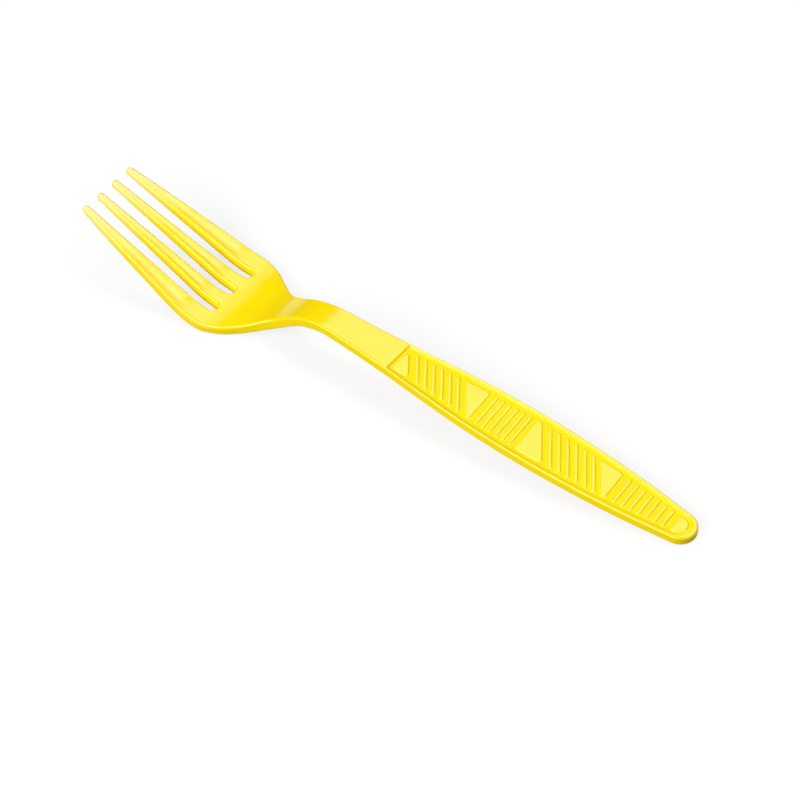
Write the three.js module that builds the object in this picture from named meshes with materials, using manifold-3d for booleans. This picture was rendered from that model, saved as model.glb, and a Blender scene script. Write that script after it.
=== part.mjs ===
// Disposable plastic fork, moulded in one piece. Millimetres, +Z up.
// X runs along the fork, with the tine tips at -X and the handle's end at +X. It rests on its belly and
// on the handle's end, and the origin is under the middle of its length, on the surface it rests on.
//
// The fork is laid out flat first, in s (distance along its underside from the tine tips), y (across)
// and h (height above the underside). Its outline, edges and grip panel are made there, and then the
// flat blank is bent to the fork's side line.

import * as THREE from 'three';
import { mergeVertices } from 'three/addons/utils/BufferGeometryUtils.js';
import Module from 'manifold-3d';

// Side line: straight runs and bends of the underside, from the tine tips to the handle's end
const TINE_STRAIGHT_LENGTH = 32.15;
const TINE_TILT_ANGLE = 22.2;
const HEEL_BEND_RADIUS = 25;
const BELLY_LENGTH = 2.5;
const CRANK_BEND_RADIUS = 26;
const CRANK_TILT_ANGLE = 31;
const CRANK_STRAIGHT_LENGTH = 4.2;
const NECK_BEND_RADIUS = 18.4;
const PLAIN_HANDLE_LENGTH = 16.3;

// Thickness at the tine tips, the palm, the neck and the handle
const TIP_THICKNESS = 1.7;
const PALM_THICKNESS = 2.45;
const NECK_THICKNESS = 2.7;
const HANDLE_THICKNESS = 2.35;

// Head, seen from above in the flat
const TINE_TIP_WIDTH = 1.76;
const INNER_TINE_WIDTH = 4.41;
const OUTER_TINE_WIDTH = 5.55;
const SLOT_TIP_WIDTH = 3.66;
const SLOT_ROOT_WIDTH = 2.36;
const SLOT_LENGTH = 40.7;
const SIDE_BULGE_WIDTH = 0.75;
const SHOULDER_LENGTH = 27.8;

// Handle, seen from above in the flat
const NECK_WIDTH = 7.7;
const GRIP_WIDTH = 14.7;
const PANEL_TO_WIDEST_LENGTH = 36.5;
const END_RADIUS = 4.25;
const END_TAPER_ANGLE = 8;

// Edge rounding
const TINE_EDGE_RADIUS = 0.6;
const HANDLE_EDGE_RADIUS = 0.4;
const UNDER_EDGE_RADIUS = 0.45;

// Grip panel: a recess inside a raised rim, with raised pads and ribs on its floor. A rim width is
// measured to the middle of the recess's slope, and a raised shape's size to the middle of its own slope.
const RIM_FRONT_WIDTH = 0.55;
const RIM_BACK_WIDTH = 0.85;
const RIM_END_WIDTH = 1.4;
const RECESS_DEPTH = 0.6;
const RECESS_SLOPE_WIDTH = 0.4;
const RAISED_HEIGHT = 0.3;
const RAISED_SLOPE_WIDTH = 0.3;
const EDGE_TO_RIB_WIDTH = 2;
const EDGE_TO_RIB_MIDDLE_WIDTH = 2.35;
const FRONT_GROOVE_WIDTH = 0.8;
const RIB_WIDTH = 0.85;
const STEEP_SLANT_ANGLE = 35;
const SHALLOW_SLANT_ANGLE = 4;

// Run of pads and rib groups along the panel's middle line, from its front. A lead is the distance from a
// pad's side to the middle of the first rib after it, and a tail is that from the last rib to the next pad.
const FIRST_PAD_LENGTH = 2.35;
const FIRST_LEAD_LENGTH = 2.35;
const FIRST_RIB_PITCH = 2.325;
const FIRST_TAIL_LENGTH = 2.27;
const SECOND_PAD_LENGTH = 4;
const SECOND_LEAD_LENGTH = 1.87;
const SECOND_RIB_PITCH = 1.9;
const SECOND_TAIL_LENGTH = 1.78;
const THIRD_PAD_LENGTH = 4.4;
const THIRD_LEAD_LENGTH = 2.2;
const THIRD_RIB_PITCH = 2.435;
const THIRD_TAIL_LENGTH = 1.87;
const FOURTH_PAD_LENGTH = 3.8;
const FOURTH_LEAD_LENGTH = 2.22;
const FOURTH_RIB_PITCH = 2.1;
const FOURTH_TAIL_LENGTH = 2.1;
const END_PAD_LENGTH = 3.1;
const END_MOAT_WIDTH = 1;

// Shallow troughs in the tops of the tines
const TROUGH_LENGTH = 26;
const ROOT_TO_TROUGH_LENGTH = 14;
const TROUGH_DEPTH = 0.22;
const TROUGH_SHARE = 0.62;

// Fineness of the mesh
const OUTLINE_STEP = 4;
const TIP_STEPS = 6;
const END_STEPS = 12;
const EDGE_STEPS = 3;
const UNDER_STEPS = 2;
const BEND_STEP_ANGLE = 3.6;

const HAIR = 0.02;
const OVERCUT = 1;
const rad = THREE.MathUtils.degToRad;
const lerp = THREE.MathUtils.lerp;
const tan = (degrees) => Math.tan(rad(degrees));

const headHalf = OUTER_TINE_WIDTH + INNER_TINE_WIDTH + 1.5 * SLOT_ROOT_WIDTH;
const tipsHalf = 2 * TINE_TIP_WIDTH + 1.5 * SLOT_TIP_WIDTH;
const neckHalf = NECK_WIDTH / 2;
const gripHalf = GRIP_WIDTH / 2;

// Stations from one place to another, both ends included

function stations(from, to, step) {
  const count = Math.max(1, Math.round(Math.abs(to - from) / step));
  return Array.from({ length: count + 1 }, (_, index) => lerp(from, to, index / count));
}

// Places along the flat blank

const heelStart = TINE_STRAIGHT_LENGTH;
const bellyStart = heelStart + HEEL_BEND_RADIUS * rad(TINE_TILT_ANGLE);
const crankStart = bellyStart + BELLY_LENGTH;
const crankEnd = crankStart + CRANK_BEND_RADIUS * rad(CRANK_TILT_ANGLE);
const neckStart = crankEnd + CRANK_STRAIGHT_LENGTH;
const slotCentre = SLOT_LENGTH - SLOT_ROOT_WIDTH / 2;
const widestHead = slotCentre;
const narrowest = widestHead + SHOULDER_LENGTH;

// The pads and ribs, placed one after the other on the panel's middle line

const GROUPS = [
  {
    pad: FIRST_PAD_LENGTH,
    lead: FIRST_LEAD_LENGTH,
    ribs: 6,
    pitch: FIRST_RIB_PITCH,
    slant: STEEP_SLANT_ANGLE,
    tail: FIRST_TAIL_LENGTH,
  },
  {
    pad: SECOND_PAD_LENGTH,
    lead: SECOND_LEAD_LENGTH,
    ribs: 6,
    pitch: SECOND_RIB_PITCH,
    slant: SHALLOW_SLANT_ANGLE,
    tail: SECOND_TAIL_LENGTH,
  },
  {
    pad: THIRD_PAD_LENGTH,
    lead: THIRD_LEAD_LENGTH,
    ribs: 6,
    pitch: THIRD_RIB_PITCH,
    slant: STEEP_SLANT_ANGLE,
    tail: THIRD_TAIL_LENGTH,
  },
  {
    pad: FOURTH_PAD_LENGTH,
    lead: FOURTH_LEAD_LENGTH,
    ribs: 7,
    pitch: FOURTH_RIB_PITCH,
    slant: SHALLOW_SLANT_ANGLE,
    tail: FOURTH_TAIL_LENGTH,
  },
];

function panelLayout() {
  const pads = [];
  const ribs = [];
  let place = FRONT_GROOVE_WIDTH;
  let slantBefore = 0;
  GROUPS.forEach((group) => {
    pads.push({ from: place, to: place + group.pad, fromSlant: slantBefore, toSlant: group.slant });
    place += group.pad + group.lead;
    for (let rib = 0; rib < group.ribs; rib += 1) {
      ribs.push({ at: place + rib * group.pitch, slant: group.slant });
    }
    place += (group.ribs - 1) * group.pitch + group.tail;
    slantBefore = group.slant;
  });
  return { pads, ribs, endPad: { from: place, to: place + END_PAD_LENGTH, fromSlant: slantBefore } };
}

const layout = panelLayout();
const panelLength = layout.endPad.to + END_MOAT_WIDTH;

// Side line of the underside

function sideRuns(handleTilt) {
  const tineTilt = rad(TINE_TILT_ANGLE);
  const crankTilt = rad(CRANK_TILT_ANGLE);
  return [
    { length: TINE_STRAIGHT_LENGTH, angle: -tineTilt, curve: 0 },
    { length: HEEL_BEND_RADIUS * tineTilt, angle: -tineTilt, curve: 1 / HEEL_BEND_RADIUS },
    { length: BELLY_LENGTH, angle: 0, curve: 0 },
    { length: CRANK_BEND_RADIUS * crankTilt, angle: 0, curve: 1 / CRANK_BEND_RADIUS },
    { length: CRANK_STRAIGHT_LENGTH, angle: crankTilt, curve: 0 },
    { length: NECK_BEND_RADIUS * (crankTilt + handleTilt), angle: crankTilt, curve: -1 / NECK_BEND_RADIUS },
    { length: PLAIN_HANDLE_LENGTH + panelLength + RIM_END_WIDTH, angle: -handleTilt, curve: 0 },
  ];
}

function along(run, start, distance) {
  const angle = run.angle + run.curve * distance;
  if (run.curve === 0) {
    return {
      x: start.x + distance * Math.cos(angle),
      z: start.z + distance * Math.sin(angle),
      angle,
    };
  }
  return {
    x: start.x + (Math.sin(angle) - Math.sin(run.angle)) / run.curve,
    z: start.z - (Math.cos(angle) - Math.cos(run.angle)) / run.curve,
    angle,
  };
}

function makeSideLine(handleTilt) {
  let start = { x: 0, z: 0 };
  let from = 0;
  const runs = sideRuns(handleTilt).map((run) => {
    const placed = { ...run, start, from };
    start = along(run, start, run.length);
    from += run.length;
    return placed;
  });
  const at = (s) => {
    const run = runs.findLast((each) => s >= each.from) ?? runs[0];
    return along(run, run.start, s - run.from);
  };
  return { runs, length: from, at };
}

// The handle slopes down just enough for its end to touch the surface that the belly lies on

function restingSideLine() {
  let low = 0;
  let high = rad(45);
  for (let step = 0; step < 50; step += 1) {
    const tilt = (low + high) / 2;
    const line = makeSideLine(tilt);
    const drop = line.at(line.length - UNDER_EDGE_RADIUS).z - line.at(bellyStart).z;
    if (drop > 0) low = tilt;
    else high = tilt;
  }
  return makeSideLine((low + high) / 2);
}

const sideLine = restingSideLine();
const total = sideLine.length;
const handleStart = total - panelLength - RIM_END_WIDTH - PLAIN_HANDLE_LENGTH;
const panelFront = handleStart + PLAIN_HANDLE_LENGTH;
const endCentre = total - END_RADIUS;
const endTangent = endCentre + END_RADIUS * Math.sin(rad(END_TAPER_ANGLE));

// Places at which the bends are drawn

function bendStations() {
  return sideLine.runs.flatMap((run) => {
    if (run.curve === 0) return [];
    return stations(run.from, run.from + run.length, rad(BEND_STEP_ANGLE) / Math.abs(run.curve));
  });
}

// Smooth curve through [place, value] points, with the slopes at its two ends given

function curveThrough(points, firstSlope, lastSlope) {
  const last = points.length - 1;
  const slopes = points.map((point, index) => {
    if (index === 0) return firstSlope;
    if (index === last) return lastSlope;
    const [before, after] = [points[index - 1], points[index + 1]];
    return (after[1] - before[1]) / (after[0] - before[0]);
  });
  return (s) => {
    const found = points.findIndex((point) => s <= point[0]);
    const index = found === -1 ? last : Math.max(found, 1);
    const [[s0, v0], [s1, v1]] = [points[index - 1], points[index]];
    const span = s1 - s0;
    const t = THREE.MathUtils.clamp((s - s0) / span, 0, 1);
    const rise = v1 - v0;
    const a = slopes[index - 1] * span - rise;
    const b = rise - slopes[index] * span;
    return v0 + t * rise + t * (1 - t) * (a * (1 - t) + b * t);
  };
}

// Half width of the whole fork along its length

const SHOULDER_SHAPE = [[0.2, 0.834], [0.38, 0.511], [0.56, 0.198], [0.78, 0.041]];
const FRONT_SHAPE = [[0.2, 0.125], [0.39, 0.345], [0.62, 0.695], [0.785, 0.9]];
const BACK_SHAPE = [[0.28, 0.925], [0.63, 0.62]];
const widestGrip = panelFront + PANEL_TO_WIDEST_LENGTH;
const endHalf = END_RADIUS * Math.cos(rad(END_TAPER_ANGLE));

function shaped(shape, from, to, fromValue, toValue) {
  return shape.map(([share, value]) => [lerp(from, to, share), lerp(toValue, fromValue, value)]);
}

const halfWidth = curveThrough([
  [0, tipsHalf],
  [widestHead / 2, lerp(tipsHalf, headHalf, 0.5) + SIDE_BULGE_WIDTH / 2],
  [widestHead, headHalf],
  ...shaped(SHOULDER_SHAPE, widestHead, narrowest, headHalf, neckHalf),
  [narrowest, neckHalf],
  ...shaped(FRONT_SHAPE, narrowest, widestGrip, gripHalf, neckHalf),
  [widestGrip, gripHalf],
  ...shaped(BACK_SHAPE, widestGrip, endTangent, gripHalf, endHalf),
  [endTangent, endHalf],
], (headHalf - tipsHalf + 2 * SIDE_BULGE_WIDTH) / widestHead, -tan(END_TAPER_ANGLE));

const slotHalf = (s) => lerp(SLOT_TIP_WIDTH, SLOT_ROOT_WIDTH, s / slotCentre) / 2;
const innerTine = (s) => lerp(TINE_TIP_WIDTH, INNER_TINE_WIDTH, s / slotCentre);
const slotMiddle = (s) => innerTine(s) + 2 * slotHalf(s);

// Points of an arc in the (s, y) plane, ends included; angles in degrees from +s towards +y

function arc(centreS, centreY, radius, fromAngle, toAngle, steps) {
  return stations(0, 1, 1 / steps).map((share) => {
    const angle = rad(lerp(fromAngle, toAngle, share));
    return [centreS + radius * Math.cos(angle), centreY + radius * Math.sin(angle)];
  });
}

// One side of the fork's outline, from the handle's end to the root of the middle slot

function halfOutline() {
  const tip = TINE_TIP_WIDTH / 2;
  const outerTipMiddle = tipsHalf - tip;
  const innerTipMiddle = SLOT_TIP_WIDTH / 2 + tip;
  const rootRadius = SLOT_ROOT_WIDTH / 2;
  const edge = (from, to, height) => stations(from, to, OUTLINE_STEP).map((s) => [s, height(s)]);
  const shoulder = bendStations().filter((s) => s > widestHead && s < handleStart).reverse();
  const pieces = [
    arc(endCentre, 0, END_RADIUS, 0, 90 - END_TAPER_ANGLE, END_STEPS / 2),
    edge(endTangent, handleStart, halfWidth),
    shoulder.map((s) => [s, halfWidth(s)]),
    edge(widestHead, tip, halfWidth),
    arc(tip, outerTipMiddle, tip, 90, 270, TIP_STEPS),
    edge(tip, slotCentre, (s) => slotMiddle(s) + slotHalf(s)),
    arc(slotCentre, slotMiddle(slotCentre), rootRadius, 90, -90, TIP_STEPS),
    edge(slotCentre, tip, (s) => slotMiddle(s) - slotHalf(s)),
    arc(tip, innerTipMiddle, tip, 90, 270, TIP_STEPS),
    edge(tip, slotCentre, slotHalf),
    arc(slotCentre, 0, rootRadius, 90, 0, TIP_STEPS / 2),
  ];
  return withoutRepeats(pieces.flat());
}

function withoutRepeats(points) {
  return points.filter((point, index) => {
    if (index === 0) return true;
    const before = points[index - 1];
    return Math.hypot(point[0] - before[0], point[1] - before[1]) > HAIR * 5;
  });
}

function mirrored(points) {
  const inner = points.slice(1, -1).reverse();
  return [...points, ...inner.map(([s, y]) => [s, -y])];
}

// Outline moved inwards by a distance for each point, for an outline that runs anticlockwise

function inset(outline, distances) {
  const count = outline.length;
  return outline.map(([s, y], index) => {
    const before = outline[(index + count - 1) % count];
    const after = outline[(index + 1) % count];
    const first = new THREE.Vector2(s - before[0], y - before[1]).normalize();
    const second = new THREE.Vector2(after[0] - s, after[1] - y).normalize();
    const bisector = first.clone().add(second).normalize();
    const reach = distances[index] / Math.max(bisector.dot(first), 0.5);
    return [s - bisector.y * reach, y + bisector.x * reach];
  });
}

// Triangles that fill an outline

function filled(outline) {
  return THREE.ShapeUtils.triangulateShape(outline.map(([s, y]) => new THREE.Vector2(s, y)), []);
}

// The same for the whole fork, with strips straight across the handle and the shoulders

function filledAcross(outline) {
  const count = outline.length;
  const last = outline.findIndex(([s]) => s < SLOT_LENGTH + 2 * TINE_EDGE_RADIUS) - 1;
  const faces = [[count - 1, 0, 1]];
  for (let index = 1; index < last; index += 1) {
    faces.push([count - index, index, index + 1], [count - index, index + 1, count - index - 1]);
  }
  const comb = filled(outline.slice(last, count - last + 1));
  return [...faces, ...comb.map((face) => face.map((index) => index + last))];
}

// Closed solid from rings with equal numbers of points, listed from the bottom to the top

function loft(rings, fill = filled) {
  const size = rings[0].points.length;
  const points = rings.flatMap((ring) => ring.points.map(([s, y]) => [s, y, ring.h]));
  const faces = [];
  for (let level = 0; level < rings.length - 1; level += 1) {
    for (let index = 0; index < size; index += 1) {
      const a = level * size + index;
      const b = level * size + (index + 1) % size;
      faces.push([a, b, b + size], [a, b + size, a + size]);
    }
  }
  const cap = (ring, offset, flip) => fill(ring.points).forEach(([a, b, c]) => {
    faces.push(flip ? [a + offset, c + offset, b + offset] : [a + offset, b + offset, c + offset]);
  });
  cap(rings[0], 0, true);
  cap(rings.at(-1), (rings.length - 1) * size, false);
  return { points, faces };
}

// The blank: the whole outline with rounded edges, at the handle's thickness

function blankMesh() {
  const outline = mirrored(halfOutline());
  const tineShare = ([s]) => THREE.MathUtils.smoothstep(s, slotCentre, crankStart + SHOULDER_LENGTH / 2);
  const topRadii = outline.map((point) => lerp(TINE_EDGE_RADIUS, HANDLE_EDGE_RADIUS, tineShare(point)));
  const rings = [];
  for (let step = 0; step <= UNDER_STEPS; step += 1) {
    const angle = (Math.PI / 2) * (1 - step / UNDER_STEPS);
    const distances = outline.map(() => UNDER_EDGE_RADIUS * (1 - Math.cos(angle)));
    rings.push({ points: inset(outline, distances), h: UNDER_EDGE_RADIUS * (1 - Math.sin(angle)) });
  }
  for (let step = 0; step <= EDGE_STEPS; step += 1) {
    const angle = (Math.PI / 2) * (step / EDGE_STEPS);
    const distances = topRadii.map((radius) => radius * (1 - Math.cos(angle)));
    const drop = HANDLE_EDGE_RADIUS * (1 - Math.sin(angle));
    rings.push({ points: inset(outline, distances), h: HANDLE_THICKNESS - drop });
  }
  return loft(rings, filledAcross);
}

// Grip panel

const panelShare = (s) => (s - panelFront) / (total - panelFront);
const recessHalf = (s) => halfWidth(s) - lerp(RIM_FRONT_WIDTH, RIM_BACK_WIDTH, panelShare(s));
const floorHeight = HANDLE_THICKNESS - RECESS_DEPTH;

// Radius of the recess's round end, which touches its two tapered sides and stops short of the fork's end

function recessEndRadius() {
  const beyondTangent = endTangent + RIM_END_WIDTH - total;
  const taperTan = tan(END_TAPER_ANGLE);
  const reach = endHalf - RIM_BACK_WIDTH + beyondTangent * taperTan;
  return reach / (1 / Math.cos(rad(END_TAPER_ANGLE)) - taperTan);
}

function recessOutline() {
  const radius = recessEndRadius();
  const centre = total - RIM_END_WIDTH - radius;
  const sideEnd = centre + radius * Math.sin(rad(END_TAPER_ANGLE));
  const side = stations(sideEnd, panelFront, OUTLINE_STEP).map((s) => [s, recessHalf(s)]);
  const endArc = arc(centre, 0, radius, 0, 90 - END_TAPER_ANGLE, END_STEPS / 2);
  const half = withoutRepeats([...endArc, ...side.slice(1)]);
  return [...half, ...half.slice(1).reverse().map(([s, y]) => [s, -y])];
}

function recessMesh() {
  const outline = recessOutline();
  const moved = (distance) => inset(outline, outline.map(() => distance));
  return loft([
    { points: moved(RECESS_SLOPE_WIDTH / 2), h: floorHeight },
    { points: moved(-RECESS_SLOPE_WIDTH / 2), h: HANDLE_THICKNESS },
    { points: moved(-RECESS_SLOPE_WIDTH / 2), h: HANDLE_THICKNESS + OVERCUT },
  ]);
}

// Raised shape on the recess's floor, from its outline halfway up its slope

function raisedMesh(outline) {
  const moved = (distance) => inset(outline, outline.map(() => distance));
  return loft([
    { points: moved(-RAISED_SLOPE_WIDTH / 2), h: floorHeight - RAISED_HEIGHT },
    { points: moved(-RAISED_SLOPE_WIDTH / 2), h: floorHeight },
    { points: moved(RAISED_SLOPE_WIDTH / 2), h: floorHeight + RAISED_HEIGHT },
  ]);
}

// Side limit of the raised shapes, which bulges less than the fork's outline

function limitHalf(s) {
  const bulge = 4 * panelShare(s) * (1 - panelShare(s));
  return halfWidth(s) - lerp(EDGE_TO_RIB_WIDTH, EDGE_TO_RIB_MIDDLE_WIDTH, bulge);
}

// Where a slanted line across the panel meets that limit; the far end of a line leans towards the tines

function onLimit(place, slant, side) {
  let s = panelFront + place;
  let y = 0;
  for (let step = 0; step < 8; step += 1) {
    y = side * limitHalf(s);
    s = panelFront + place - y * tan(slant);
  }
  return [s, y];
}

function bandOutline(from, to, fromSlant, toSlant) {
  const corners = [
    onLimit(from, fromSlant, -1),
    onLimit(to, toSlant, -1),
    onLimit(to, toSlant, 1),
    onLimit(from, fromSlant, 1),
  ];
  const lead = tan(toSlant) - tan(fromSlant);
  const meet = lead === 0 ? Infinity : (to - from) / lead;
  const apex = [panelFront + from - meet * tan(fromSlant), meet];
  if (corners[2][0] - corners[3][0] < RIB_WIDTH / 2 && meet > 0) return [corners[0], corners[1], apex];
  if (corners[1][0] - corners[0][0] < RIB_WIDTH / 2 && meet < 0) return [apex, corners[2], corners[3]];
  return corners;
}

function endPadOutline() {
  const { from, fromSlant } = layout.endPad;
  const radius = END_RADIUS - RIM_END_WIDTH - END_MOAT_WIDTH / 2;
  const round = arc(total - RIM_END_WIDTH - END_MOAT_WIDTH - radius, 0, radius, -75, 75, END_STEPS / 2);
  const corner = (y) => [panelFront + from - y * tan(fromSlant), y];
  return [corner(-radius), ...round, corner(radius)];
}

function raisedMeshes() {
  const meshes = layout.pads.map(({ from, to, fromSlant, toSlant }) => (
    raisedMesh(bandOutline(from, to, fromSlant, toSlant))
  ));
  layout.ribs.forEach(({ at, slant }) => {
    const half = RIB_WIDTH / 2 / Math.cos(rad(slant));
    meshes.push(raisedMesh(bandOutline(at - half, at + half, slant, slant)));
  });
  meshes.push(raisedMesh(endPadOutline()));
  return meshes;
}

// Shallow trough in a tine's top: the foot of a long flat ellipsoid

function troughMesh(middle, width) {
  const reach = 3;
  const depthScale = TROUGH_DEPTH * reach;
  const spread = 1 / Math.sqrt(1 - (1 - 1 / reach) ** 2);
  const sphere = mergeVertices(positionOnly(new THREE.SphereGeometry(1, 20, 12)));
  sphere.scale((TROUGH_LENGTH / 2) * spread, (width / 2) * spread, depthScale);
  sphere.translate(slotCentre - ROOT_TO_TROUGH_LENGTH, middle, HANDLE_THICKNESS + depthScale - TROUGH_DEPTH);
  return fromGeometry(sphere);
}

function troughMeshes() {
  const s = slotCentre - ROOT_TO_TROUGH_LENGTH;
  const outer = [slotMiddle(s) + slotHalf(s), halfWidth(s)];
  const inner = [slotHalf(s), slotMiddle(s) - slotHalf(s)];
  return [outer, inner].flatMap(([from, to]) => [1, -1].map((side) => (
    troughMesh((side * (from + to)) / 2, (to - from) * TROUGH_SHARE)
  )));
}

// Meshes as point and face lists, and as solids

function inThrees(flat) {
  return Array.from({ length: flat.length / 3 }, (_, i) => Array.from(flat.subarray(3 * i, 3 * i + 3)));
}

function positionOnly(geometry) {
  geometry.deleteAttribute('normal');
  geometry.deleteAttribute('uv');
  return geometry;
}

function fromGeometry(geometry) {
  const position = geometry.getAttribute('position');
  const faces = inThrees(geometry.getIndex().array).filter(([a, b, c]) => a !== b && b !== c && c !== a);
  return { points: inThrees(position.array), faces };
}

const wasm = await Module();
wasm.setup();

function toSolid({ points, faces }) {
  return new wasm.Manifold(new wasm.Mesh({
    numProp: 3,
    vertProperties: new Float32Array(points.flat()),
    triVerts: new Uint32Array(faces.flat()),
  }));
}

function fromSolid(solid) {
  const { vertProperties, triVerts } = solid.getMesh();
  return { points: inThrees(vertProperties), faces: inThrees(triVerts) };
}

function flatFork() {
  const raised = raisedMeshes().map(toSolid).reduce((sum, each) => sum.add(each));
  const recess = toSolid(recessMesh()).subtract(raised);
  const panelled = toSolid(blankMesh()).subtract(recess);
  return fromSolid(troughMeshes().map(toSolid).reduce((rest, each) => rest.subtract(each), panelled));
}

// Bending: the faces are split at stations in the bends, and then every point is carried to the side line

function splitAt({ points, faces }, place) {
  const all = [...points];
  const side = points.map(([s]) => (Math.abs(s - place) < HAIR ? 0 : Math.sign(s - place)));
  const cuts = new Map();
  const cut = (i, j) => {
    const [a, b] = i < j ? [i, j] : [j, i];
    const key = `${a} ${b}`;
    if (!cuts.has(key)) {
      const share = (place - all[a][0]) / (all[b][0] - all[a][0]);
      cuts.set(key, all.push(all[a].map((value, axis) => lerp(value, all[b][axis], share))) - 1);
    }
    return cuts.get(key);
  };
  const pieces = faces.flatMap((face) => {
    const signs = face.map((index) => side[index]);
    if (!signs.includes(1) || !signs.includes(-1)) return [face];
    const low = [];
    const high = [];
    face.forEach((from, corner) => {
      const to = face[(corner + 1) % 3];
      if (side[from] <= 0) low.push(from);
      if (side[from] >= 0) high.push(from);
      if (side[from] * side[to] < 0) {
        low.push(cut(from, to));
        high.push(cut(from, to));
      }
    });
    return [low, high].flatMap((polygon) => (
      polygon.slice(2).map((corner, index) => [polygon[0], polygon[index + 1], corner])
    ));
  });
  return { points: all, faces: pieces };
}

const thickness = curveThrough([
  [0, TIP_THICKNESS],
  [heelStart, PALM_THICKNESS],
  [crankStart, PALM_THICKNESS],
  [neckStart, NECK_THICKNESS],
  [handleStart, HANDLE_THICKNESS],
], (PALM_THICKNESS - TIP_THICKNESS) / heelStart, 0);

function bent([s, y, h]) {
  const { x, z, angle } = sideLine.at(s);
  const height = (h * thickness(s)) / HANDLE_THICKNESS;
  return [x - height * Math.sin(angle), y, z + height * Math.cos(angle)];
}

function forkGeometry() {
  const split = bendStations().reduce(splitAt, flatFork());
  const geometry = new THREE.BufferGeometry();
  const corners = split.faces.flatMap((face) => face.flatMap((index) => bent(split.points[index])));
  geometry.setAttribute('position', new THREE.BufferAttribute(new Float32Array(corners), 3));
  geometry.computeBoundingBox();
  const { min, max } = geometry.boundingBox;
  geometry.translate(-(min.x + max.x) / 2, 0, -min.z);
  geometry.computeVertexNormals();
  return geometry;
}

const plastic = new THREE.MeshStandardMaterial({ color: '#ffe600', roughness: 0.28, metalness: 0 });

const fork = new THREE.Mesh(forkGeometry(), plastic);
fork.name = 'fork';

const group = new THREE.Group();
group.add(fork);

export default group;
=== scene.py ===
"""Look of the disposable plastic fork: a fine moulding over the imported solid, on a pale floor.

The moulding is laid out flat first, in s (distance along the underside from the tine tips),
y (across) and h (height above the underside), and then bent to the fork's side line. Sizes are
in millimetres up to the point where the mesh is made.
"""
import math
import bpy
from mathutils import Matrix, Vector
from mathutils.geometry import delaunay_2d_cdt


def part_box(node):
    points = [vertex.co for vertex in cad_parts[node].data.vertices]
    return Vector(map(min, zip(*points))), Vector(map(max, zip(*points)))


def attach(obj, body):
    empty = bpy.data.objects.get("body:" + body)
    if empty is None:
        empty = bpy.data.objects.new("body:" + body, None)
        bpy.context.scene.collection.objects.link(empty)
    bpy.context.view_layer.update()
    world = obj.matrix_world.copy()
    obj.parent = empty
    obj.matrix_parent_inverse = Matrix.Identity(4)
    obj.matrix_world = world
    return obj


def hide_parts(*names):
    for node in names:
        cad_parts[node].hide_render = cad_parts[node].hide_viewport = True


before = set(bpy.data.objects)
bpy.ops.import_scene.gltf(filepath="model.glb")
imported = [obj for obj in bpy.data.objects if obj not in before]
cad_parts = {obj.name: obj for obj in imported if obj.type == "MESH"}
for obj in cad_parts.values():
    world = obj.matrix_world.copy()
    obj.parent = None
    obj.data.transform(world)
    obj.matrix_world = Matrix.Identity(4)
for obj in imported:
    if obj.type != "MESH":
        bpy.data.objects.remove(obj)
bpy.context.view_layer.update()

MM = 0.001

# Side line
TINE_STRAIGHT = 32.15
TINE_TILT = math.radians(22.2)
HEEL_RADIUS = 25
BELLY = 2.5
CRANK_RADIUS = 26
CRANK_TILT = math.radians(31)
CRANK_STRAIGHT = 4.2
NECK_RADIUS = 18.4
PLAIN_HANDLE = 16.3

# Thickness
TIP_THICKNESS = 1.7
PALM_THICKNESS = 2.45
NECK_THICKNESS = 2.7
HANDLE_THICKNESS = 2.35

# Head in the flat
TIP_WIDTH = 1.76
INNER_TINE = 4.41
OUTER_TINE = 5.55
SLOT_TIP = 3.66
SLOT_ROOT = 2.36
SLOT_LENGTH = 40.7
SIDE_BULGE = 0.75
SHOULDER = 27.8

# Handle in the flat
NECK_HALF = 3.85
GRIP_HALF = 7.35
PANEL_TO_WIDEST = 36.5
END_RADIUS = 4.25
END_TAPER = math.radians(8)

# Edges: inset and drop of the roundings on top, how far before the panel the inset narrows, and
# the radius underneath
TINE_EDGE = 0.8
TINE_EDGE_DROP = 1.1
HANDLE_EDGE = 0.62
HANDLE_EDGE_DROP = 0.6
EDGE_RUN_IN = 4
UNDER_EDGE = 0.45

# Grip panel
RIM_FRONT = 0.55
RIM_BACK = 0.85
RIM_END = 1.4
RIM_SLOPE_HALF = 0.22
RECESS_DEPTH = 0.6
RAISED_HEIGHT = 0.3
EDGE_TO_RIB = 2.0
EDGE_TO_RIB_MIDDLE = 2.35
FRONT_GROOVE = 0.8
RIB_WIDTH = 0.85
STEEP = math.radians(35)
SHALLOW = math.radians(4)
END_PAD = 3.1
END_PAD_HALF_TURN = 75
END_MOAT = 1.0

# Pads and rib groups: pad length, lead, ribs, pitch, slant, tail
GROUPS = (
    (2.35, 2.35, 6, 2.325, STEEP, 2.27),
    (4.0, 1.87, 6, 1.9, SHALLOW, 1.78),
    (4.4, 2.2, 6, 2.435, STEEP, 1.87),
    (3.8, 2.22, 7, 2.1, SHALLOW, 2.1),
)

# Sections of the panel's edges: distance inwards from the edge's outline, and depth or height as
# a share
RECESS_SECTION = (
    (-0.18, 0.0),
    (-0.12, 0.025),
    (-0.05, 0.12),
    (0.1, 0.48),
    (0.22, 0.8),
    (0.29, 0.93),
    (0.37, 1.0),
)
RAISED_SECTION = (
    (-0.24, 0.0),
    (-0.17, 0.06),
    (-0.09, 0.24),
    (0.0, 0.52),
    (0.08, 0.8),
    (0.15, 0.95),
    (0.22, 1.0),
)

# Corner radii of the recess, the pads and the ribs, and the least that a ring's corner keeps
RECESS_CORNER = 0.45
PAD_CORNER = 0.55
RIB_CORNER = 0.36
LEAST_CORNER = 0.012

# Troughs in the tines' tops
TROUGH_FROM = 9.0
TROUGH_TO = 38.5
TROUGH_RUN_IN = 10.0
TROUGH_SCOOP = 5.0
TROUGH_DEPTH = 0.22
TROUGH_SHARE = 0.9

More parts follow.
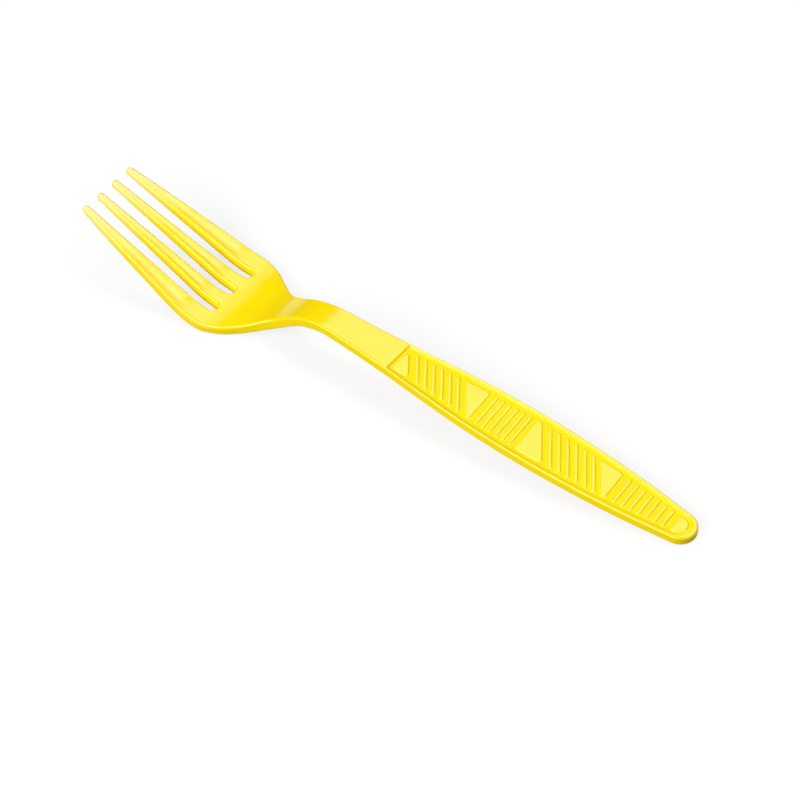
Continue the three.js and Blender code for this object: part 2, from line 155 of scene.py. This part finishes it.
# Plastic: refraction, its two tints, the noise scales of tint and roughness, and the bump
PLASTIC_IOR = 1.55
PLASTIC_TINTS = ((0.985, 0.74, 0.0), (0.995, 0.77, 0.001))
TINT_SCALE = 60
ROUGHNESS_SCALE = 220
BUMP_STRENGTH = 0.25

# Painted highlight on the tine tips: where along x its paler colour is full and where it has gone,
# and that colour
TIP_HIGHLIGHT_FULL = -86
TIP_HIGHLIGHT_GONE = -70
TIP_HIGHLIGHT_COLOUR = (1.0, 0.86, 0.3)

# World: its level as light, and the height of direction under which it shows white to camera,
# mirrored and transmitted rays
WORLD_LEVEL = 0.04
WORLD_HORIZON = -0.06

# Floor: its own colour, and what is added to it for those same rays, with its size in metres
FLOOR_ALBEDO = 0.2
FLOOR_LIFT = 0.8
FLOOR_ROUGHNESS = 0.9
FLOOR_HALF = 0.165
FLOOR_DROP = 0.00002

# Lamps: name, place, target, width, depth and radiance, in metres
LAMPS = (
    ("back_overhead", (-0.045, 0.75, 1.0), (-0.045, 0.75, 0), 1.29, 0.7, 2.4),
    ("back_bright", (0.34, 0.47, 0.98), (0.34, 0.47, 0), 0.5, 0.6, 3.0),
    ("front", (-0.25, -1.0, 0.7), (0, 0, 0), 1.5, 0.6, 6.4),
    ("right", (0.9, 0.1, 0.7), (0, 0, 0), 0.8, 0.6, 1.7),
)

# Camera: azimuth, elevation and roll in degrees, distance and aim in millimetres, and its picture
CAMERA_ANGLES = (36.52, 45.76, -0.207)
CAMERA_DISTANCE = 1200.0
CAMERA_AIM = (4.856, -3.752, 0)
CAMERA_REACH = 20
PIXELS_PER_MM = 4.327
PICTURE_WIDTH = 800
SENSOR_WIDTH = 36

# Outline: step along it, least step that is kept, and the steps of its arcs and of the roundings
EDGE_STEP = 0.9
LEAST_STEP = 0.05
END_STEPS = 12
TINE_STEPS = 16
ROUND_STEPS = 8

# Corners: steps of an arc, half turn under which a corner stays sharp, and the least cosine that
# an inset is divided by
CORNER_STEPS = 4
SOFT_TURN = math.radians(14)
LEAST_COSINE = 0.5

# Matte walls, counted upwards from the side wall
MATTE_WALLS = 2

# Loose points: steps along and across, on top and underneath, and their distances from the edges
GRID_STEP = 0.85
GRID_ACROSS = 0.34
UNDER_GRID_ACROSS = 0.9
GRID_FROM = 2.2
GRID_CLEARANCE = 0.2
GRID_NARROW_CLEARANCE = 0.12
GRID_LEAST_SHARE = 0.2
GRID_ROOT_GAP = 0.4
GRID_PALM_GAP = 0.3

# Solving, and measuring slopes and levels
TILT_STEPS = 50
LIMIT_STEPS = 8
SLOPE_STEP = 0.05
LEVEL_TOLERANCE = 0.001


def lerp(a, b, t):
    """Value at the share t of the way from a to b."""
    return a + (b - a) * t


def spread(start, end, step):
    """Even places from start to end, about a step apart."""
    count = max(1, round(abs(end - start) / step))
    return [lerp(start, end, k / count) for k in range(count + 1)]


def smooth(t):
    """Soft rise from 0 to 1 as t does the same."""
    t = min(max(t, 0), 1)
    return t * t * (3 - 2 * t)


def curve_through(points, first, last):
    """Smooth curve through (place, value) points with the slopes at its two ends given."""
    slopes = [first]
    for before, after in zip(points, points[2:]):
        slopes.append((after[1] - before[1]) / (after[0] - before[0]))
    slopes.append(last)

    def at(s):
        k = next((i for i, p in enumerate(points) if s <= p[0]), len(points) - 1)
        k = max(k, 1)
        (s0, v0), (s1, v1) = points[k - 1], points[k]
        span = s1 - s0
        t = min(max((s - s0) / span, 0), 1)
        rise = v1 - v0
        a = slopes[k - 1] * span - rise
        b = rise - slopes[k] * span
        return v0 + t * rise + t * (1 - t) * (a * (1 - t) + b * t)

    return at


# Places along the flat fork

def panel_layout():
    """Pads and ribs from the panel's front, and the place and front slant of the end pad."""
    pads, ribs = [], []
    place, slant_before = FRONT_GROOVE, 0.0
    for pad, lead, count, pitch, slant, tail in GROUPS:
        pads.append((place, place + pad, slant_before, slant))
        place += pad + lead
        ribs += [(place + k * pitch, slant) for k in range(count)]
        place += (count - 1) * pitch + tail
        slant_before = slant
    return pads, ribs, place, slant_before


panel_pads, panel_ribs, end_pad_start, end_pad_slant = panel_layout()
panel_length = end_pad_start + END_PAD + END_MOAT

heel = TINE_STRAIGHT
belly = heel + HEEL_RADIUS * TINE_TILT
crank = belly + BELLY
crank_end = crank + CRANK_RADIUS * CRANK_TILT
neck = crank_end + CRANK_STRAIGHT
slot_centre = SLOT_LENGTH - SLOT_ROOT / 2
narrowest = slot_centre + SHOULDER


class SideLine:
    """The underside seen from the side, as straight runs and bends."""

    def __init__(self, tilt):
        runs = (
            (TINE_STRAIGHT, -TINE_TILT, 0),
            (HEEL_RADIUS * TINE_TILT, -TINE_TILT, 1 / HEEL_RADIUS),
            (BELLY, 0, 0),
            (CRANK_RADIUS * CRANK_TILT, 0, 1 / CRANK_RADIUS),
            (CRANK_STRAIGHT, CRANK_TILT, 0),
            (NECK_RADIUS * (CRANK_TILT + tilt), CRANK_TILT, -1 / NECK_RADIUS),
            (PLAIN_HANDLE + panel_length + RIM_END, -tilt, 0),
        )
        self.runs = []
        x = z = s = 0.0
        for length, angle, curve in runs:
            self.runs.append((s, x, z, angle, curve))
            x, z, _ = self.along(self.runs[-1], length)
            s += length
        self.length = s

    @staticmethod
    def along(run, distance):
        """Place and angle at a distance into a run."""
        _, x, z, start, curve = run
        angle = start + curve * distance
        if curve == 0:
            return x + distance * math.cos(angle), z + distance * math.sin(angle), angle
        return (
            x + (math.sin(angle) - math.sin(start)) / curve,
            z - (math.cos(angle) - math.cos(start)) / curve,
            angle,
        )

    def at(self, s):
        run = next((r for r in reversed(self.runs) if s >= r[0]), self.runs[0])
        return self.along(run, s - run[0])


def resting_side_line():
    """Side line whose handle slopes down until its end is as low as the belly."""
    low, high = 0.0, math.radians(45)
    for _ in range(TILT_STEPS):
        tilt = (low + high) / 2
        line = SideLine(tilt)
        if line.at(line.length - UNDER_EDGE)[1] > line.at(belly)[1]:
            low = tilt
        else:
            high = tilt
    return SideLine((low + high) / 2)


side_line = resting_side_line()
total = side_line.length
handle_start = total - panel_length - RIM_END - PLAIN_HANDLE
panel_front = handle_start + PLAIN_HANDLE
end_centre = total - END_RADIUS
end_tangent = end_centre + END_RADIUS * math.sin(END_TAPER)
widest_grip = panel_front + PANEL_TO_WIDEST

# Half width of the fork, and the tines and slots. A shape's points are shares of the way between
# two places, and of the way between the half widths there.

head_half = OUTER_TINE + INNER_TINE + 1.5 * SLOT_ROOT
tips_half = 2 * TIP_WIDTH + 1.5 * SLOT_TIP
end_half = END_RADIUS * math.cos(END_TAPER)
SHOULDER_SHAPE = ((0.2, 0.834), (0.38, 0.511), (0.56, 0.198), (0.78, 0.041))
FRONT_SHAPE = ((0.2, 0.125), (0.39, 0.345), (0.62, 0.695), (0.785, 0.9))
BACK_SHAPE = ((0.28, 0.925), (0.63, 0.62))


def shaped(shape, start, end, high, low):
    """Shape's points between two places, with 1 at the high value and 0 at the low one."""
    return [(lerp(start, end, share), lerp(low, high, value)) for share, value in shape]


half_width = curve_through(
    [
        (0, tips_half),
        (slot_centre / 2, (tips_half + head_half + SIDE_BULGE) / 2),
        (slot_centre, head_half),
        *shaped(SHOULDER_SHAPE, slot_centre, narrowest, head_half, NECK_HALF),
        (narrowest, NECK_HALF),
        *shaped(FRONT_SHAPE, narrowest, widest_grip, GRIP_HALF, NECK_HALF),
        (widest_grip, GRIP_HALF),
        *shaped(BACK_SHAPE, widest_grip, end_tangent, GRIP_HALF, end_half),
        (end_tangent, end_half),
    ],
    (head_half - tips_half + 2 * SIDE_BULGE) / slot_centre,
    -math.tan(END_TAPER),
)


def slot_half(s):
    """Half width of the slots."""
    return lerp(SLOT_TIP, SLOT_ROOT, s / slot_centre) / 2


def slot_middle(s):
    """Distance of an outer slot's middle from the middle line."""
    return lerp(TIP_WIDTH, INNER_TINE, s / slot_centre) + 2 * slot_half(s)


def panel_share(s):
    return (s - panel_front) / (total - panel_front)


def rim_width(s):
    return lerp(RIM_FRONT, RIM_BACK, panel_share(s))


def recess_half(s):
    return half_width(s) - rim_width(s)


def limit_half(s):
    """Side limit of the pads and ribs, which bulges less than the fork's outline."""
    bulge = 4 * panel_share(s) * (1 - panel_share(s))
    return half_width(s) - lerp(EDGE_TO_RIB, EDGE_TO_RIB_MIDDLE, bulge)


def tine_share(s):
    """Share of the tines' softer edge: all of it on the tines, and none from the crank on."""
    return 1 - smooth((s - slot_centre) / (crank + SHOULDER / 2 - slot_centre))


def edge_inset(s):
    """Inset of the rounding along the fork's top edge, which leaves the rim a narrow crest."""
    crest = min(HANDLE_EDGE, rim_width(max(s, panel_front)) - RIM_SLOPE_HALF)
    handle = lerp(HANDLE_EDGE, crest, smooth(1 + (s - panel_front) / EDGE_RUN_IN))
    return lerp(handle, TINE_EDGE, tine_share(s))


thickness = curve_through(
    [
        (0, TIP_THICKNESS),
        (heel, PALM_THICKNESS),
        (crank, PALM_THICKNESS),
        (neck, NECK_THICKNESS),
        (handle_start, HANDLE_THICKNESS),
    ],
    (PALM_THICKNESS - TIP_THICKNESS) / heel,
    0,
)


def arc(s, y, radius, start, end, steps):
    """Points of an arc around a centre, between two angles in degrees."""
    turns = [math.radians(lerp(start, end, k / steps)) for k in range(steps + 1)]
    return [(s + radius * math.cos(a), y + radius * math.sin(a)) for a in turns]


def without_repeats(points):
    """Points without those that all but repeat the one before."""
    kept = points[:1]
    for point in points[1:]:
        if math.dist(point, kept[-1]) > LEAST_STEP:
            kept.append(point)
    return kept


def mirrored(half):
    """Whole outline from a half that starts and ends on the middle line."""
    return half + [(s, -y) for s, y in reversed(half[1:-1])]


def fork_outline():
    """Outline of the fork in the flat, from the handle's end around."""
    tip = TIP_WIDTH / 2
    taper = math.degrees(END_TAPER)

    def edge(start, end, height):
        return [(s, height(s)) for s in spread(start, end, EDGE_STEP)]

    half = (
        arc(end_centre, 0, END_RADIUS, 0, 90 - taper, END_STEPS)
        + edge(end_tangent, slot_centre, half_width)
        + edge(slot_centre, tip, half_width)
        + arc(tip, tips_half - tip, tip, 90, 270, TINE_STEPS)
        + edge(tip, slot_centre, lambda s: slot_middle(s) + slot_half(s))
        + arc(slot_centre, slot_middle(slot_centre), SLOT_ROOT / 2, 90, -90, TINE_STEPS)
        + edge(slot_centre, tip, lambda s: slot_middle(s) - slot_half(s))
        + arc(tip, SLOT_TIP / 2 + tip, tip, 90, 270, TINE_STEPS)
        + edge(tip, slot_centre, slot_half)
        + arc(slot_centre, 0, SLOT_ROOT / 2, 90, 0, TINE_STEPS // 2)
    )
    return mirrored(without_repeats(half))


def recess_outline():
    """Outline of the recess, which has a straight front and a round end."""
    taper = math.tan(END_TAPER)
    reach = end_half - RIM_BACK + (end_tangent + RIM_END - total) * taper
    radius = reach / (1 / math.cos(END_TAPER) - taper)
    centre = total - RIM_END - radius
    side_end = centre + radius * math.sin(END_TAPER)
    side = [(s, recess_half(s)) for s in spread(side_end, panel_front, EDGE_STEP)]
    end = arc(centre, 0, radius, 0, 90 - math.degrees(END_TAPER), END_STEPS)
    half = without_repeats(end + side[1:])
    return half + [(s, -y) for s, y in reversed(half[1:])]


def on_limit(place, slant, side):
    """Point where a slanted line through a place on the middle line meets the side limit."""
    s, y = panel_front + place, 0.0
    for _ in range(LIMIT_STEPS):
        y = side * limit_half(s)
        s = panel_front + place - y * math.tan(slant)
    return s, y


def band_outline(start, end, start_slant, end_slant):
    """Outline of a pad or rib, which is a triangle where its two slanted sides meet."""
    corners = [
        on_limit(start, start_slant, -1),
        on_limit(end, end_slant, -1),
        on_limit(end, end_slant, 1),
        on_limit(start, start_slant, 1),
    ]
    lead = math.tan(end_slant) - math.tan(start_slant)
    meet = (end - start) / lead if lead else math.inf
    apex = (panel_front + start - meet * math.tan(start_slant), meet) if lead else None
    if corners[2][0] - corners[3][0] < RIB_WIDTH / 2 and meet > 0:
        return [corners[0], corners[1], apex]
    if corners[1][0] - corners[0][0] < RIB_WIDTH / 2 and meet < 0:
        return [apex, corners[2], corners[3]]
    return corners


def end_pad_outline():
    """Outline of the pad that fills the panel's round end."""
    radius = END_RADIUS - RIM_END - END_MOAT / 2
    front = panel_front + end_pad_start
    lean = radius * math.tan(end_pad_slant)
    middle = total - RIM_END - END_MOAT - radius
    turn = arc(middle, 0, radius, -END_PAD_HALF_TURN, END_PAD_HALF_TURN, END_STEPS)
    return [(front + lean, -radius), *turn, (front - lean, radius)]


def moved_inwards(outline, distances):
    """Outline moved inwards at each point by a distance, along the line that halves its corner."""
    count = len(outline)
    result = []
    for k, (s, y) in enumerate(outline):
        before, after = outline[k - 1], outline[(k + 1) % count]
        first = Vector((s - before[0], y - before[1])).normalized()
        second = Vector((after[0] - s, after[1] - y)).normalized()
        along = (first + second).normalized()
        reach = distances[k] / max(along.dot(first), LEAST_COSINE)
        result.append((s - along.y * reach, y + along.x * reach))
    return result


def rounded_ring(outline, inwards, radius):
    """Outline moved inwards, with its sharp corners turned into arcs that share their centres."""
    count = len(outline)
    result = []
    for k, (s, y) in enumerate(outline):
        before, after = outline[k - 1], outline[(k + 1) % count]
        first = Vector((s - before[0], y - before[1])).normalized()
        second = Vector((after[0] - s, after[1] - y)).normalized()
        along = (first + second).normalized()
        cosine = along.dot(first)
        normal = Vector((-along.y, along.x))
        if cosine > math.cos(SOFT_TURN):
            point = Vector((s, y)) + normal * (inwards / cosine)
            result.append(tuple(point))
            continue
        centre = Vector((s, y)) + normal * (radius / cosine)
        turn = 2 * math.acos(min(cosine, 1))
        start = math.atan2(-first.x, first.y)
        for step in range(CORNER_STEPS + 1):
            angle = start + turn * step / CORNER_STEPS
            reach = max(radius - inwards, LEAST_CORNER)
            corner = (centre.x + reach * math.cos(angle), centre.y + reach * math.sin(angle))
            result.append(corner)
    return result


class Flat:
    """Points and triangles of the flat moulding, its matte faces and its level points."""

    def __init__(self):
        self.points = []
        self.faces = []
        self.matte = set()
        self.level = set()

    def ring(self, outline, heights):
        """Add an outline's points at their heights, and return their numbers."""
        start = len(self.points)
        self.points += [(s, y, h) for (s, y), h in zip(outline, heights)]
        return list(range(start, start + len(outline)))

    def wall(self, lower, upper):
        """Join two rings of as many points with triangles."""
        count = len(lower)
        for k in range(count):
            a, b = lower[k], lower[(k + 1) % count]
            c, d = upper[(k + 1) % count], upper[k]
            self.faces += [(a, b, c), (a, c, d)]

    def sheet(self, edge, lines, loose, up):
        """Fill an edge ring, facing up or down, with the other rings and the loose points in it."""
        used = edge + [k for line in lines for k in line] + loose
        place_of = {index: k for k, index in enumerate(used)}
        flat_points = [Vector(self.points[index][:2]) for index in used]
        borders = []
        for line in [edge] + lines:
            ids = [place_of[index] for index in line]
            borders += list(zip(ids, ids[1:] + ids[:1]))
        made, _, faces, origins, _, _ = delaunay_2d_cdt(flat_points, borders, [], 1, 1e-6)
        known = []
        for k, origin in enumerate(origins):
            if origin:
                known.append(used[origin[0]])
            else:
                raise ValueError(f"lines cross at {made[k]}")
        for face in faces:
            a, b, c = (made[k] for k in face)
            ids = tuple(known[k] for k in face)
            if ((b - a).cross(c - a) > 0) != up:
                ids = ids[::-1]
            self.faces.append(ids)


def tine_edges(s):
    """Sides of the outer and the inner tine on one side of the middle line."""
    return (
        (slot_middle(s) + slot_half(s), half_width(s)),
        (slot_half(s), slot_middle(s) - slot_half(s)),
    )


def trough(s, y):
    """Depth of the trough in a tine's top."""
    along = smooth((s - TROUGH_FROM) / TROUGH_RUN_IN) * smooth((TROUGH_TO - s) / TROUGH_SCOOP)
    if along == 0:
        return 0
    for low, high in tine_edges(s):
        share = (2 * abs(y) - low - high) / (high - low) / TROUGH_SHARE
        if abs(share) < 1:
            return TROUGH_DEPTH * along * (1 - share ** 2) ** 1.5
    return 0


def grid_points(step, across_step):
    """Loose points over the tines, the palm and the bends."""
    found = []
    clear = TINE_EDGE + GRID_CLEARANCE
    for s in spread(GRID_FROM, slot_centre - GRID_ROOT_GAP, step):
        for low, high in tine_edges(s):
            middle, half = (low + high) / 2, (high - low) / 2
            if half <= clear:
                if half > TINE_EDGE + GRID_NARROW_CLEARANCE:
                    found += [(s, side * middle) for side in (1, -1)]
                continue
            share_step = max(across_step / (half - clear), GRID_LEAST_SHARE)
            for share in spread(-1, 1, share_step):
                offset = share * (half - clear)
                found += [(s, side * (middle + offset)) for side in (1, -1)]
    for s in spread(SLOT_LENGTH + clear + GRID_PALM_GAP, handle_start, step):
        half = half_width(s) - clear
        found += [(s, y) for y in spread(-half, half, across_step * 2)]
    return found


def add_sides(flat):
    """Add the roundings and the side wall, and return the edge rings of underside and top."""
    outline = fork_outline()
    insets = [edge_inset(s) for s, _ in outline]
    drops = [lerp(HANDLE_EDGE_DROP, TINE_EDGE_DROP, tine_share(s)) for s, _ in outline]
    top = HANDLE_THICKNESS
    rings = []
    for step in range(ROUND_STEPS + 1):
        angle = math.pi / 2 * (1 - step / ROUND_STEPS)
        moved = moved_inwards(outline, [UNDER_EDGE * (1 - math.cos(angle))] * len(outline))
        rings.append(flat.ring(moved, [UNDER_EDGE * (1 - math.sin(angle))] * len(outline)))
    for step in range(ROUND_STEPS + 1):
        angle = math.pi / 2 * step / ROUND_STEPS
        moved = moved_inwards(outline, [r * (1 - math.cos(angle)) for r in insets])
        rings.append(flat.ring(moved, [top - d * (1 - math.sin(angle)) for d in drops]))
    for k, (lower, upper) in enumerate(zip(rings, rings[1:])):
        first_face = len(flat.faces)
        flat.wall(lower, upper)
        if ROUND_STEPS <= k < ROUND_STEPS + MATTE_WALLS:
            flat.matte.update(range(first_face, len(flat.faces)))
    return rings[0], rings[-1]


def add_panel(flat):
    """Add the rings of the recess, the pads and the ribs, and return them."""
    top = HANDLE_THICKNESS
    lines = []
    recess = recess_outline()
    for inwards, depth in RECESS_SECTION:
        ring = rounded_ring(recess, inwards, RECESS_CORNER)
        lines.append(flat.ring(ring, [top - RECESS_DEPTH * depth] * len(ring)))
        if depth in (0, 1):
            flat.level.update(lines[-1])
    raised = [(band_outline(*pad), PAD_CORNER) for pad in panel_pads]
    for at, slant in panel_ribs:
        half = RIB_WIDTH / 2 / math.cos(slant)
        raised.append((band_outline(at - half, at + half, slant, slant), RIB_CORNER))
    raised.append((end_pad_outline(), PAD_CORNER))
    for shape, radius in raised:
        for inwards, height in RAISED_SECTION:
            ring = rounded_ring(shape, inwards, radius)
            level = top - RECESS_DEPTH + RAISED_HEIGHT * height
            lines.append(flat.ring(ring, [level] * len(ring)))
            if height in (0, 1):
                flat.level.update(lines[-1])
    return lines


def flat_fork():
    """Whole moulding in the flat, with the troughs pressed into its upper half."""
    flat = Flat()
    top = HANDLE_THICKNESS
    under_edge, top_edge = add_sides(flat)
    lines = add_panel(flat)
    grid = grid_points(GRID_STEP, GRID_ACROSS)
    over = flat.ring(grid, [top] * len(grid))
    flat.sheet(top_edge, lines, over, True)
    grid = grid_points(2 * GRID_STEP, UNDER_GRID_ACROSS)
    under = flat.ring(grid, [0] * len(grid))
    flat.sheet(under_edge, [], under, False)
    flat.level.update(under_edge, top_edge, over, under)
    flat.points = [(s, y, h - trough(s, y) * smooth(2 * h / top - 1)) for s, y, h in flat.points]
    return flat


def bent(point):
    """Place of a flat point once the fork is bent to its side line."""
    s, y, h = point
    x, z, angle = side_line.at(s)
    height = h * thickness(s) / HANDLE_THICKNESS
    return Vector((x - height * math.sin(angle), y, z + height * math.cos(angle)))


def smooth_normals(points, faces):
    """Normals at the points, weighted by the areas of the faces around them."""
    sums = [Vector() for _ in points]
    for a, b, c in faces:
        normal = (points[b] - points[a]).cross(points[c] - points[a])
        for k in (a, b, c):
            sums[k] += normal
    return [n.normalized() for n in sums]


def level_normal(s, y, h):
    """Normal of the nearly level top or underside at a place of the flat moulding."""
    angle = side_line.at(s)[2]
    if h < HANDLE_THICKNESS / 4:
        return Vector((math.sin(angle), 0, -math.cos(angle)))

    def height(s, y):
        return (h - trough(s, y)) * thickness(s) / HANDLE_THICKNESS

    step = SLOPE_STEP
    along = (height(s + step, y) - height(s - step, y)) / (2 * step)
    across = (height(s, y + step) - height(s, y - step)) / (2 * step)
    return Vector((
        -math.sin(angle) - along * math.cos(angle),
        -across,
        math.cos(angle) - along * math.sin(angle),
    )).normalized()


def make_fork():
    """Moulding as a piece, seated in the solid's box, with gloss first and matte second."""
    flat = flat_fork()
    points = [bent(p) for p in flat.points]
    low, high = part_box("fork")
    ends = [p.x for p in points]
    shift = Vector(((low[0] + high[0]) / 2 / MM - (min(ends) + max(ends)) / 2, 0, 0))
    shift.z = low[2] / MM - min(p.z for p in points)
    points = [(p + shift) * MM for p in points]
    mesh = bpy.data.meshes.new("fork_moulding")
    mesh.from_pydata(points, [], flat.faces)
    floor_height = HANDLE_THICKNESS - RECESS_DEPTH
    for polygon in mesh.polygons:
        off = [abs(flat.points[k][2] - floor_height) for k in polygon.vertices]
        is_floor = max(off) < LEVEL_TOLERANCE
        polygon.material_index = int(is_floor or polygon.index in flat.matte)
    mesh.shade_smooth()
    normals = smooth_normals(points, flat.faces)
    for k in flat.level:
        normals[k] = level_normal(*flat.points[k])
    mesh.normals_split_custom_set_from_vertices(normals)
    piece = bpy.data.objects.new("fork_moulding", mesh)
    bpy.context.collection.objects.link(piece)
    return piece


def new_material(name):
    """Material with its nodes, its links and its shader."""
    material = bpy.data.materials.new(name)
    material.use_nodes = True
    nodes, links = material.node_tree.nodes, material.node_tree.links
    return material, nodes, links, nodes["Principled BSDF"]


def plastic_material(name, specular, smoothest, roughest, grain_scale, grain_depth):
    """Yellow plastic with slightly uneven tint and roughness, a fine grain and a painted highlight
    on the tine tips.
    """
    material, nodes, links, shader = new_material(name)
    shader.inputs["IOR"].default_value = PLASTIC_IOR
    shader.inputs["Specular IOR Level"].default_value = specular
    shader.inputs["Metallic"].default_value = 0
    place_node = nodes.new("ShaderNodeTexCoord")

    def noise(scale, detail):
        node = nodes.new("ShaderNodeTexNoise")
        node.inputs["Scale"].default_value = scale
        node.inputs["Detail"].default_value = detail
        links.new(place_node.outputs["Object"], node.inputs["Vector"])
        return node

    def ramp(source, low, high, start=0.3, end=0.7):
        node = nodes.new("ShaderNodeMapRange")
        node.inputs["From Min"].default_value = start
        node.inputs["From Max"].default_value = end
        node.inputs["To Min"].default_value = low
        node.inputs["To Max"].default_value = high
        links.new(source, node.inputs["Value"])
        return node.outputs["Result"]

    def mix(share, first, second):
        node = nodes.new("ShaderNodeMix")
        node.data_type = "RGBA"
        links.new(share, node.inputs["Factor"])
        for colour, value in (("A", first), ("B", second)):
            if isinstance(value, tuple):
                node.inputs[colour].default_value = (*value, 1)
            else:
                links.new(value, node.inputs[colour])
        return node.outputs["Result"]

    parts = nodes.new("ShaderNodeSeparateXYZ")
    links.new(place_node.outputs["Object"], parts.inputs["Vector"])
    tint = mix(ramp(noise(TINT_SCALE, 3).outputs["Fac"], 0, 1), *PLASTIC_TINTS)
    # Painted highlight: the base colour turns paler towards the tine tips, by place along x
    tip_highlight = ramp(parts.outputs["X"], 1, 0, TIP_HIGHLIGHT_FULL * MM, TIP_HIGHLIGHT_GONE * MM)
    links.new(mix(tip_highlight, tint, TIP_HIGHLIGHT_COLOUR), shader.inputs["Base Color"])
    uneven = ramp(noise(ROUGHNESS_SCALE, 4).outputs["Fac"], smoothest, roughest)
    links.new(uneven, shader.inputs["Roughness"])

    bump = nodes.new("ShaderNodeBump")
    bump.inputs["Strength"].default_value = BUMP_STRENGTH
    bump.inputs["Distance"].default_value = grain_depth
    links.new(noise(grain_scale, 3).outputs["Fac"], bump.inputs["Height"])
    links.new(bump.outputs["Normal"], shader.inputs["Normal"])
    return material


def seen_share(nodes, links):
    """1 for rays from the camera and for mirrored and transmitted rays, and 0 for all others."""
    rays = nodes.new("ShaderNodeLightPath")
    share = rays.outputs["Is Camera Ray"]
    for name in ("Is Glossy Ray", "Is Transmission Ray"):
        larger = nodes.new("ShaderNodeMath")
        larger.operation = "MAXIMUM"
        links.new(share, larger.inputs[0])
        links.new(rays.outputs[name], larger.inputs[1])
        share = larger.outputs["Value"]
    return share


def make_floor():
    """Floor that shows white to camera, mirrored and transmitted rays and is grey to the rest."""
    mesh = bpy.data.meshes.new("floor")
    corners = [(-1, -1), (1, -1), (1, 1), (-1, 1)]
    points = [(x * FLOOR_HALF, y * FLOOR_HALF, -FLOOR_DROP) for x, y in corners]
    mesh.from_pydata(points, [], [(0, 1, 2, 3)])
    floor = bpy.data.objects.new("floor", mesh)
    bpy.context.collection.objects.link(floor)
    material, nodes, links, shader = new_material("floor_white")
    shader.inputs["Base Color"].default_value = (FLOOR_ALBEDO, FLOOR_ALBEDO, FLOOR_ALBEDO, 1)
    shader.inputs["Roughness"].default_value = FLOOR_ROUGHNESS
    shader.inputs["Specular IOR Level"].default_value = 0
    lift = nodes.new("ShaderNodeMath")
    lift.operation = "MULTIPLY"
    lift.inputs[1].default_value = FLOOR_LIFT
    links.new(seen_share(nodes, links), lift.inputs[0])
    shader.inputs["Emission Color"].default_value = (1, 1, 1, 1)
    links.new(lift.outputs["Value"], shader.inputs["Emission Strength"])
    mesh.materials.append(material)


def make_lamp(name, place, target, width, depth, radiance):
    """Oblong lamp at a place, turned to its target."""
    data = bpy.data.lights.new(name, "AREA")
    data.shape = "RECTANGLE"
    data.size = width
    data.size_y = depth
    data.energy = radiance * math.pi * width * depth
    lamp = bpy.data.objects.new(name, data)
    bpy.context.collection.objects.link(lamp)
    lamp.location = place
    aim = Vector(target) - Vector(place)
    lamp.rotation_euler = aim.to_track_quat("-Z", "Y").to_euler()


def make_light():
    """World, dark above and white below its horizon to the rays that show it, and the lamps."""
    world = bpy.data.worlds.new("studio")
    world.use_nodes = True
    nodes, links = world.node_tree.nodes, world.node_tree.links
    direction = nodes.new("ShaderNodeTexCoord")
    parts = nodes.new("ShaderNodeSeparateXYZ")
    links.new(direction.outputs["Generated"], parts.inputs["Vector"])
    below = nodes.new("ShaderNodeMath")
    below.operation = "LESS_THAN"
    below.inputs[1].default_value = WORLD_HORIZON
    links.new(parts.outputs["Z"], below.inputs[0])
    white = nodes.new("ShaderNodeMath")
    white.operation = "MULTIPLY"
    links.new(below.outputs["Value"], white.inputs[0])
    links.new(seen_share(nodes, links), white.inputs[1])
    level = nodes.new("ShaderNodeMapRange")
    level.inputs["To Min"].default_value = WORLD_LEVEL
    level.inputs["To Max"].default_value = 1
    links.new(white.outputs["Value"], level.inputs["Value"])
    nodes["Background"].inputs["Color"].default_value = (1, 1, 1, 1)
    links.new(level.outputs["Result"], nodes["Background"].inputs["Strength"])
    bpy.context.scene.world = world
    for lamp in LAMPS:
        make_lamp(*lamp)


def make_camera():
    """Camera at the photograph's place."""
    azimuth, elevation, roll = (math.radians(angle) for angle in CAMERA_ANGLES)
    back = Vector((
        math.sin(azimuth) * math.cos(elevation),
        -math.cos(azimuth) * math.cos(elevation),
        math.sin(elevation),
    ))
    right = Vector((math.cos(azimuth), math.sin(azimuth), 0))
    up = back.cross(right)
    right, up = (
        right * math.cos(roll) + up * math.sin(roll),
        up * math.cos(roll) - right * math.sin(roll),
    )
    data = bpy.data.cameras.new("camera")
    data.sensor_width = SENSOR_WIDTH
    data.lens = PIXELS_PER_MM * CAMERA_DISTANCE / PICTURE_WIDTH * SENSOR_WIDTH
    data.clip_end = CAMERA_REACH
    camera = bpy.data.objects.new("camera", data)
    bpy.context.collection.objects.link(camera)
    turn = Matrix((right, up, back)).transposed().to_4x4()
    place = (Vector(CAMERA_AIM) + back * CAMERA_DISTANCE) * MM
    camera.matrix_world = Matrix.Translation(place) @ turn
    bpy.context.scene.camera = camera


make_camera()
fork = make_fork()
fork.data.materials.append(plastic_material(
    "yellow_plastic",
    specular=0.5,
    smoothest=0.13,
    roughest=0.2,
    grain_scale=260,
    grain_depth=0.00002,
))
fork.data.materials.append(plastic_material(
    "yellow_plastic_matte",
    specular=0.1,
    smoothest=0.5,
    roughest=0.6,
    grain_scale=2500,
    grain_depth=0.00003,
))
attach(fork, "root")
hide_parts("fork")
make_floor()
make_light()
bpy.context.scene.view_settings.view_transform = "Standard"
